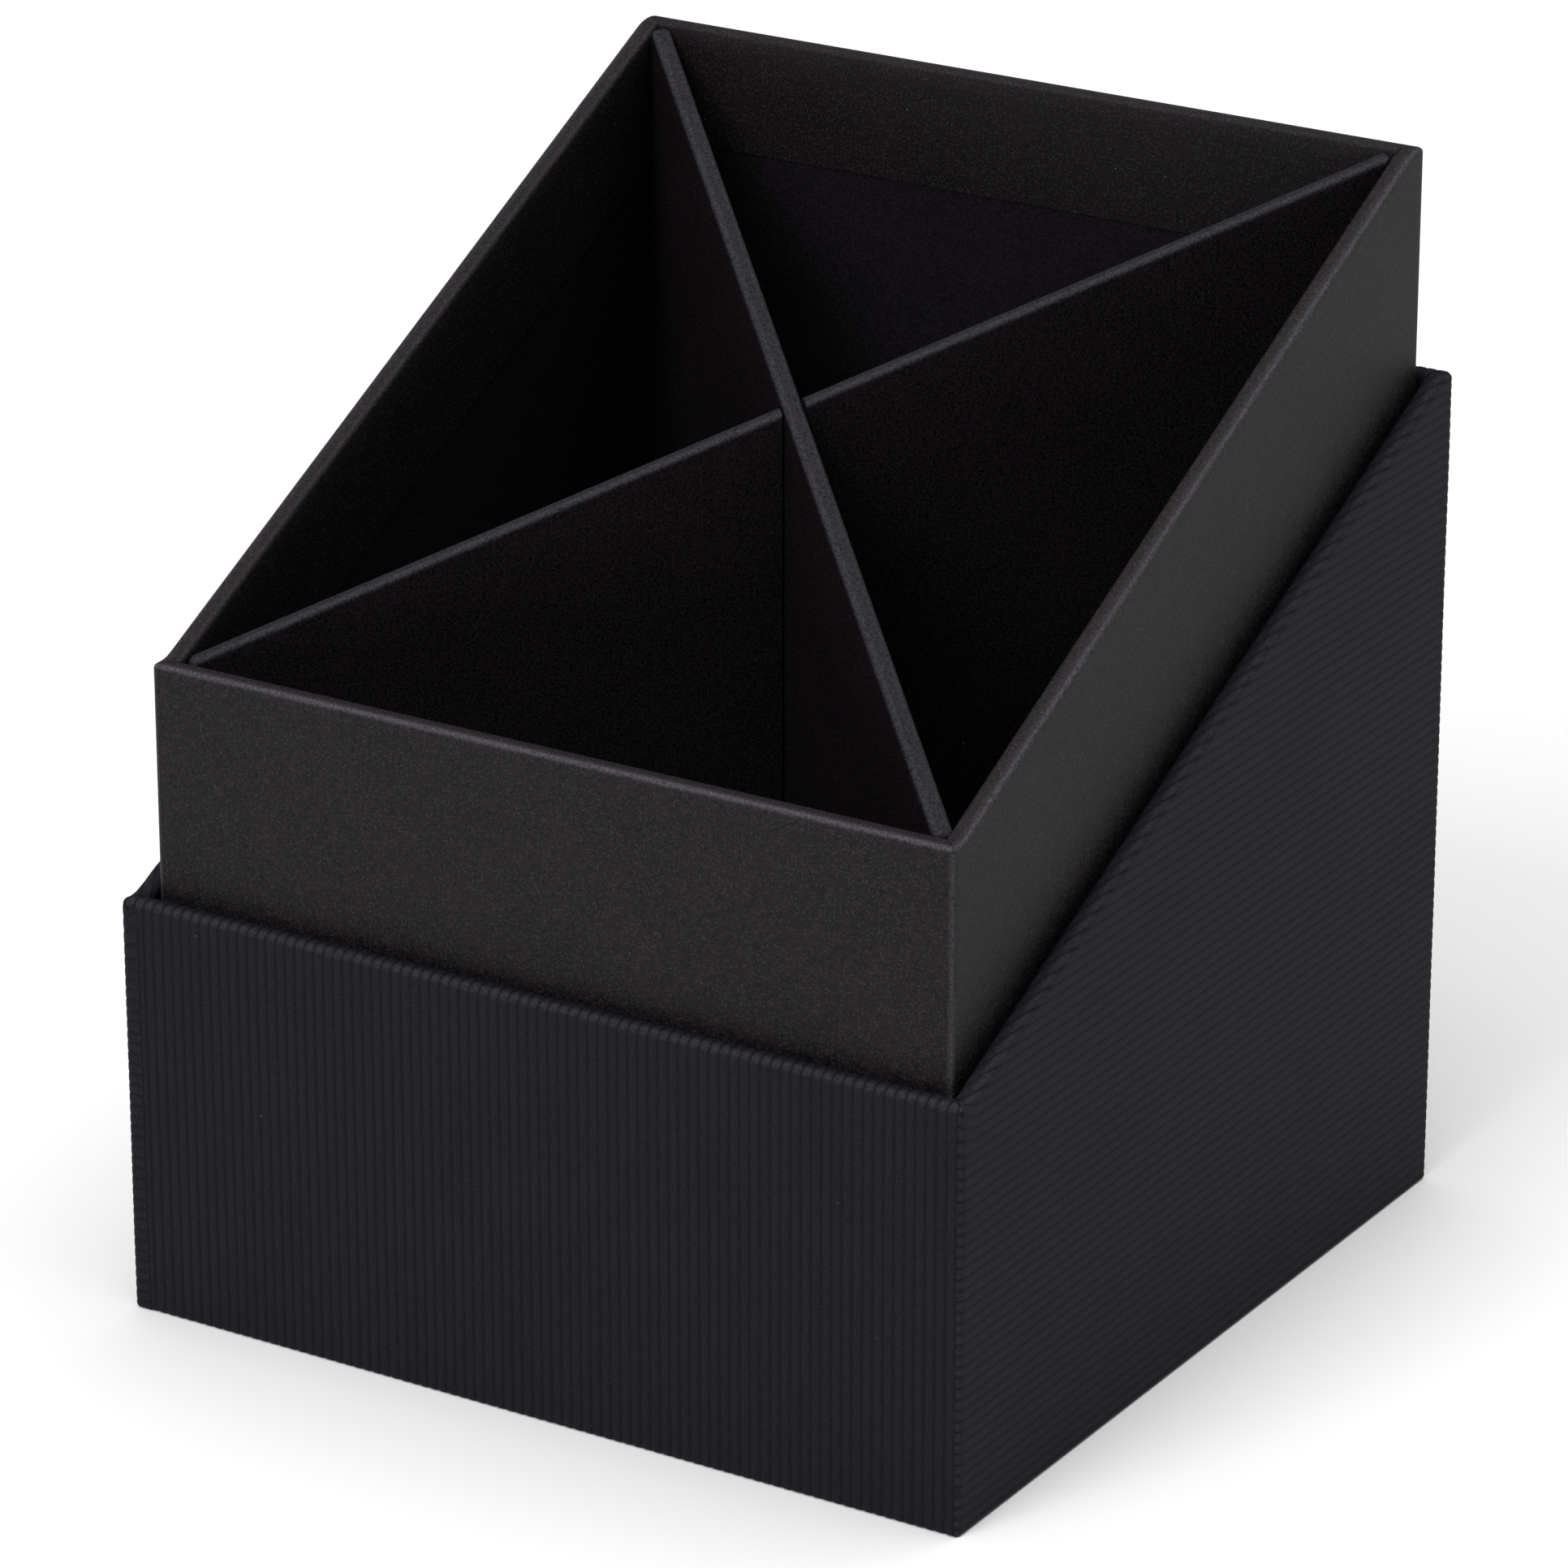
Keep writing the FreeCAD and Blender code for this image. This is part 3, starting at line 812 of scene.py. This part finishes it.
def wall_cover(box, side, stock, ends, lap_rise, seam, wave, material):
    """One wall's cover, from flat stock to a folded and mitred sheet."""
    face = bmesh.new()
    face.from_mesh(stock)
    middle, _ = box.fold_line(side)
    for point in face.verts:
        u, w, relief = point.co
        point.co = (w, u + middle, relief) if side in LEVEL_RIMS else (u, w + middle, relief)
    flap = face.copy()
    _, across_fold = lean_of(box, side)
    bend_start = Vector((0, middle, 0)) - across_fold * box.edge
    cut(face, bend_start, across_fold, drop_far=True)
    cut(flap, bend_start, -across_fold, drop_far=True)
    score_face(face, box, side, ends)
    score_flap(flap, box, side)
    parts = [folded_part(face, box, side, mitre=False), folded_part(flap, box, side, mitre=True)]
    whole, (u, w, relief, _) = joined_parts(parts)
    face.free()
    flap.free()

    places = np.array([point.co for point in whole.verts])
    past_fold = (w - middle) * across_fold.y + u * across_fold.x + box.edge
    swell = gentle_wave(places, wave) * np.clip((places[:, 2] - box.bottom) / STILL_FOOT, 0, 1)
    pressed = np.clip(1 + (past_fold - PRESSED_FROM) / PRESSED_OVER, 0, 1)
    relief = relief * (1 - PRESSED * pressed) * RIB_DEPTH[side]
    lap = lap_rise * np.clip((np.abs(u) - box.half + box.corner) / box.corner, 0, 1)
    top = fold(box, side, u, w, relief + swell + lap)
    for point, place in zip(whole.verts, top):
        point.co = place
    whole.normal_update()
    widest = max(whole.faces, key=lambda item: item.calc_area())
    faces_out = widest.calc_center_median().dot(OUTWARD[side]) > box.inside + box.wall / 2
    if (widest.normal.dot(OUTWARD[side]) > 0) != faces_out:
        bmesh.ops.reverse_faces(whole, faces=whole.faces[:])
    moves = hem_moves(whole, seam)
    for point, distance in zip(whole.verts, past_fold):
        if point in moves and distance < NEAR_FOLD:
            moves[point] *= SEAM_BELOW_RIM if distance < -NEAR_FOLD else 0
    at_hem = np.array([point in moves for point in whole.verts])
    depth = np.where(at_hem, box.relief + SHEET_EDGE, SHEET)
    under = fold(box, side, u, w, swell + lap - depth)
    for point, move in moves.items():
        point.co += move
    # Painted highlight and wear: how much the paper's material lightens each point.
    note(whole, "crease", wear_and_highlight_places(box, side, u, past_fold))
    close_sheet(whole, under)
    return finish_piece(whole, f"{box.name}_cover_{side}", material)


# %% Stock for a wall
SPARE = 6 * MM  # what the knife takes off a wall with a level rim


def wall_stock(box, side, pitch, rib_steps, column_gap, wander, material):
    """Flat stock for one wall and its flap. Its ribs run up a wall with a level rim, and along a side."""
    middle, rise = box.fold_line(side)
    over = TURN_IN + 2 * box.wall
    height = 2 * max(abs(rise) * box.half + over, middle - box.bottom + MM)
    width = 2 * box.half + (2 * over if rise else SPARE)
    along_ribs, across_ribs = (height, width) if side in LEVEL_RIMS else (width, height)
    sizes = {"Length": along_ribs, "Pitch": pitch, "Relief": box.relief, "Wander": wander}
    counts = {"Ribs": 2 * math.ceil(across_ribs / pitch / 2), "Steps per rib": rib_steps,
              "Columns": int(along_ribs / column_gap)}
    return paper_stock(**sizes, **counts, Seed=float(len(side) + len(box.name)), Paper=material)


# %% [markdown]
# ## The ribbed cover
#
# The cover is one cross-shaped sheet with its ribs running from front to back under the base. So the
# ribs stand upright on the front and back walls and lie level on the sides. The side sheets lap round
# the corners: two millimetres at the left, and half of one at the right.

# %% Ribbed walls
RIB_PITCH = 1.12 * MM
RIB_STEPS = 8
RIB_COLUMN_GAP = 7 * MM
RIB_WANDER = 0.12 * MM
LAP_LEFT = 2.0 * MM
LAP_RIGHT = 0.5 * MM
LAP_RISE = {"left": 0.06 * MM, "right": 0.02 * MM, "front": 0.0, "back": 0.0}  # how far a lap stands out
RIBBED_SEAM = 0.05 * MM
RIBBED_WAVE = 0.05 * MM


def lap_end(box, lap):
    """How far along the flat sheet a lap ends that reaches this far past the corner."""
    return box.half - 2 * box.corner + QUARTER * box.corner + lap


lapped_under = (outer.half - LAP_LEFT, outer.half - LAP_RIGHT)
ribbed_ends = {"front": lapped_under, "back": lapped_under,
               "left": (lap_end(outer, LAP_LEFT),) * 2, "right": (lap_end(outer, LAP_RIGHT),) * 2}
for side, ends in ribbed_ends.items():
    stock = wall_stock(outer, side, RIB_PITCH, RIB_STEPS, RIB_COLUMN_GAP, RIB_WANDER, RIBBED)
    piece = wall_cover(outer, side, stock, ends, LAP_RISE[side], RIBBED_SEAM, RIBBED_WAVE, RIBBED)
    hand_over(piece, "outer_box", f"outer_wrap_{side}")

# %% [markdown]
# ## The plain cover of the inner box
#
# The same cutting and folding, with no ribs. The plain paper lies flatter, and its folds are crisper.

# %% Plain walls
PLAIN_GRID = 2.5 * MM  # distance between the mesh lines of a plain sheet
PLAIN_SEAM = 0.03 * MM
PLAIN_WAVE = 0.02 * MM

butted, lapped = (inner.half - inner.corner,) * 2, (lap_end(inner, inner.corner),) * 2
for side, ends in {"front": butted, "back": butted, "left": lapped, "right": lapped}.items():
    stock = wall_stock(inner, side, PLAIN_GRID, 1, PLAIN_GRID, 0.0, PLAIN)
    piece = wall_cover(inner, side, stock, ends, 0.0, PLAIN_SEAM, PLAIN_WAVE, PLAIN)
    hand_over(piece, "inner_box", f"inner_wrap_{side}")


# %% [markdown]
# ## Base sheets and linings
#
# Under each box lies a flat sheet that closes the bottom. Inside the inner box, black lining paper
# covers the walls up to the turned-in edge of the cover and lies a paper's thickness lower, so the
# turned-in edge throws a faint line.

# %% Flat sheets
def laid_sheet(name, corners, outward, count, thickness, wave, material):
    """Flat sheet between four corners, divided so that it can undulate."""
    mesh = bmesh.new()
    low_left, low_right, high_right, high_left = (Vector(corner) for corner in corners)
    rows = []
    for up in steps(0, 1, count):
        left, right = low_left.lerp(high_left, up), low_right.lerp(high_right, up)
        rows.append([mesh.verts.new(left.lerp(right, along)) for along in steps(0, 1, count)])
    for lower, upper in zip(rows, rows[1:]):
        for index in range(count):
            mesh.faces.new([lower[index], lower[index + 1], upper[index + 1], upper[index]])
    mesh.normal_update()
    outward = Vector(outward)
    if mesh.faces[:][0].normal.dot(outward) < 0:
        bmesh.ops.reverse_faces(mesh, faces=mesh.faces[:])
    places = np.array([point.co for point in mesh.verts])
    under = places - np.array(outward) * thickness
    swell = gentle_wave(places, wave)
    for point, height in zip(mesh.verts, swell):
        point.co += outward * height
    close_sheet(mesh, under)
    return finish_piece(mesh, name, material)


# %% Linings
LINING_PAPER = 0.12 * MM
LINING_REACH = 0.1 * MM  # how far a lining slips under the turned-in edge
LINING_DIVISIONS = 30
LINING_WAVE = 0.05 * MM
FLOOR_PAPER = 0.2 * MM
FLOOR_GLUE = 0.06 * MM  # how far the floor lining lies below the top of its place


def wall_lining(side):
    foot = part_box(f"inner_lining_{side}")[0].z
    outward, sideways = OUTWARD[side], ALONG[side]
    rims = (inner.front_top, inner.back_top)
    if side in LEVEL_RIMS:
        rims = (rims[side == "back"],) * 2
    points = []
    for way, up in ((-1, 0), (1, 0), (1, 1), (-1, 1)):
        place = outward * (inner.inside + LINING_PAPER) + sideways * (way * inner.inside)
        top = rims[way > 0] - TURN_IN + LINING_REACH
        points.append((place.x, place.y, top if up else foot))
    return laid_sheet(f"inner_wall_lining_{side}", points, -outward, LINING_DIVISIONS, LINING_PAPER,
                      LINING_WAVE, LINING)


def level_corners(low, high, height):
    around = ((low.x, low.y), (high.x, low.y), (high.x, high.y), (low.x, high.y))
    return [(x, y, height) for x, y in around]


def floor_lining():
    low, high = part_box("inner_lining_base")
    return laid_sheet("inner_floor_lining", level_corners(low, high, high.z - FLOOR_GLUE), (0, 0, 1),
                      LINING_DIVISIONS, FLOOR_PAPER, LINING_WAVE, LINING)


for side in ("front", "back", "left", "right"):
    hand_over(wall_lining(side), "inner_box", f"inner_lining_{side}")
hand_over(floor_lining(), "inner_box", "inner_lining_base")

# %% Base sheets
BASE_PAPER = 0.28 * MM
BASE_DIVISIONS = 12
BASE_COLUMNS = 10


def base_edge(box):
    """Where a base sheet ends: just inside the round of the foot."""
    return box.half - 0.9 * FOOT_RADIUS


def plain_base():
    corner = Vector((1, 1, 0)) * base_edge(inner)
    return laid_sheet("inner_cover_base", level_corners(-corner, corner, inner.bottom), (0, 0, -1),
                      BASE_DIVISIONS, BASE_PAPER, 0.0, PLAIN)


def ribbed_base():
    """The ribs of the front and back walls run on under the box."""
    edge = base_edge(outer)
    counts = {"Ribs": 2 * math.ceil(edge / RIB_PITCH), "Steps per rib": RIB_STEPS, "Columns": BASE_COLUMNS}
    stock = paper_stock(Length=2 * edge, Pitch=RIB_PITCH, Relief=outer.relief, Wander=RIB_WANDER, **counts,
                        Seed=3.0, Paper=RIBBED)
    mesh = bmesh.new()
    mesh.from_mesh(stock)
    for point in mesh.verts:
        point.co = (point.co.y, point.co.x, outer.bottom - point.co.z)
    for way in (-1, 1):
        cut(mesh, (way * edge, 0, 0), (way, 0, 0), drop_far=True)
    mesh.normal_update()
    if mesh.faces[:][0].normal.z > 0:
        bmesh.ops.reverse_faces(mesh, faces=mesh.faces[:])
    under = np.array([point.co for point in mesh.verts])
    under[:, 2] = outer.bottom + BASE_PAPER
    close_sheet(mesh, under)
    return finish_piece(mesh, "outer_cover_base", RIBBED)


hand_over(plain_base(), "inner_box", "inner_wrap_base")
hand_over(ribbed_base(), "outer_box", "outer_wrap_base")

# %% [markdown]
# ## The crossed dividers
#
# Each divider is a covered board that stands on a diagonal. The two are halved together: one has its
# slot from above and the other from below. The cover goes over the top and both ends, so these edges
# are round, and it is made as a closed skin round the board.

# %% The outline of a divider
DIVIDER_EDGE = 0.7 * MM  # radius of the covered edges
DIVIDER_LONGER = 0.8 * MM  # the skin runs this much further into the corners than its place
DIVIDER_HIGHER = 0.1 * MM
SLOT_SLACK = (0.25 * MM, 0.06 * MM)  # room beside the other divider in the slot
TOP_STEPS = 8  # divisions along half of the top
CUT_EDGE = 0.01 * MM  # slack when telling which points lie on an edge
# How much the divider's cover is lightened, part wear and part painted highlight, on its bends and on its
# flat top.
WEAR_AND_HIGHLIGHT_DIVIDER = 0.6  # crease on its bends
WEAR_AND_HIGHLIGHT_DIVIDER_TOP = 0.4  # crease on its flat top


def divider_outline(reach, foot, middle_top, slope, slot, from_above):
    """Corner points of a divider, seen square on, going round from the lower left."""
    lap = (foot + middle_top) / 2
    first, last = slot

    def top(along):
        return middle_top + along * slope

    if from_above:
        bottom = [(-reach, foot), (reach, foot)]
        right = [(along, top(along)) for along in steps(reach, last, TOP_STEPS)]
        left = [(along, top(along)) for along in steps(first, -reach, TOP_STEPS)]
        return bottom + right + [(last, lap), (first, lap)] + left
    bottom = [(-reach, foot), (first, foot), (first, lap), (last, lap), (last, foot), (reach, foot)]
    return bottom + [(along, top(along)) for along in steps(reach, -reach, 2 * TOP_STEPS)]


# %% Divider skins
def divider_skin(name, node, turn, from_above):
    low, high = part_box(node)
    thickness = inner.wall
    slope = inner.rise / math.sqrt(2)
    reach = high.x * math.sqrt(2) - thickness / 2
    middle_top = high.z - reach * slope + DIVIDER_HIGHER
    reach += DIVIDER_LONGER
    slot = (-thickness / 2 - SLOT_SLACK[0], thickness / 2 + SLOT_SLACK[1])
    outline = divider_outline(reach, low.z, middle_top, slope, slot, from_above)
    mesh = bmesh.new()
    near = [mesh.verts.new((along, -thickness / 2, height)) for along, height in outline]
    far = [mesh.verts.new((along, thickness / 2, height)) for along, height in outline]
    mesh.faces.new(near)
    mesh.faces.new(list(reversed(far)))
    count = len(outline)
    for index in range(count):
        after = (index + 1) % count
        mesh.faces.new([near[after], near[index], far[index], far[after]])
    mesh.normal_update()

    def on_top(point):
        return point.co.z > middle_top + point.co.x * slope - CUT_EDGE

    def at_end(point):
        return abs(point.co.x) > reach - CUT_EDGE

    def turned_over(edge):
        """Edges that the paper goes over: along the top, up the ends and across their upper corners."""
        first, second = edge.verts
        if abs(first.co.y - second.co.y) > thickness / 2:
            return on_top(first) and at_end(first)
        return (on_top(first) and on_top(second)) or (at_end(first) and at_end(second))

    bent = [edge for edge in mesh.edges if turned_over(edge)]
    bmesh.ops.bevel(mesh, geom=bent, offset=DIVIDER_EDGE, offset_type="OFFSET", segments=BEND_STEPS,
                    profile=0.5, affect="EDGES", clamp_overlap=False)
    bmesh.ops.triangulate(mesh, faces=[face for face in mesh.faces if len(face.verts) > 4])
    # Painted highlight, with some wear: the flat top and the bends of the cover are lightened.
    below_top = np.array([middle_top + slope * point.co.x - point.co.z for point in mesh.verts])
    on_bend = np.clip(1 - below_top / (0.85 * DIVIDER_EDGE), 0, WEAR_AND_HIGHLIGHT_DIVIDER)
    note(mesh, "crease", np.where(below_top < 2 * CUT_EDGE, WEAR_AND_HIGHLIGHT_DIVIDER_TOP, on_bend))
    bmesh.ops.transform(mesh, matrix=Matrix.Rotation(turn, 4, "Z"), verts=mesh.verts[:])
    return finish_piece(mesh, name, SHADED_DIVIDER_PAPER)


for name, quarters, from_above in (("lower_divider", 0.5, True), ("upper_divider", 1.5, False)):
    skin = divider_skin(f"{name}_skin", f"{name}_cover", quarters * QUARTER, from_above)
    hand_over(skin, name, f"{name}_cover")

# %% [markdown]
# ## Finishes of the parts that stay
#
# The boards and the corner tape come straight from the frame. Each takes the finish that its slot in
# the record names.

# %% Boards and tape
FINISHES = {"greyboard": GREYBOARD, "corner_tape": TAPE}
for node in frame["record"]["subparts"]:
    finish = FINISHES.get(node["material_slot"])
    if finish:
        part = frame["nodes"][node["node"]]
        part.data.materials.clear()
        part.data.materials.append(finish)
print(len(frame["nodes"]), "parts in the frame")


# %% [markdown]
# ## The floor
#
# A plain pale table, far larger than the view.

# %% Floor
TABLE = Vector((4, 4, 0))  # its corner, in metres


def add_floor():
    data = bpy.data.meshes.new("floor")
    data.from_pydata(level_corners(-TABLE, TABLE, 0), [], [(0, 1, 2, 3)])
    floor = add_object("floor", data)
    material, _, surface = new_material("white_table")
    surface.inputs["Base Color"].default_value = (0.94, 0.94, 0.94, 1.0)
    surface.inputs["Roughness"].default_value = 0.6
    data.materials.append(material)


add_floor()
print(f"table {2 * TABLE.x:.0f} m wide")
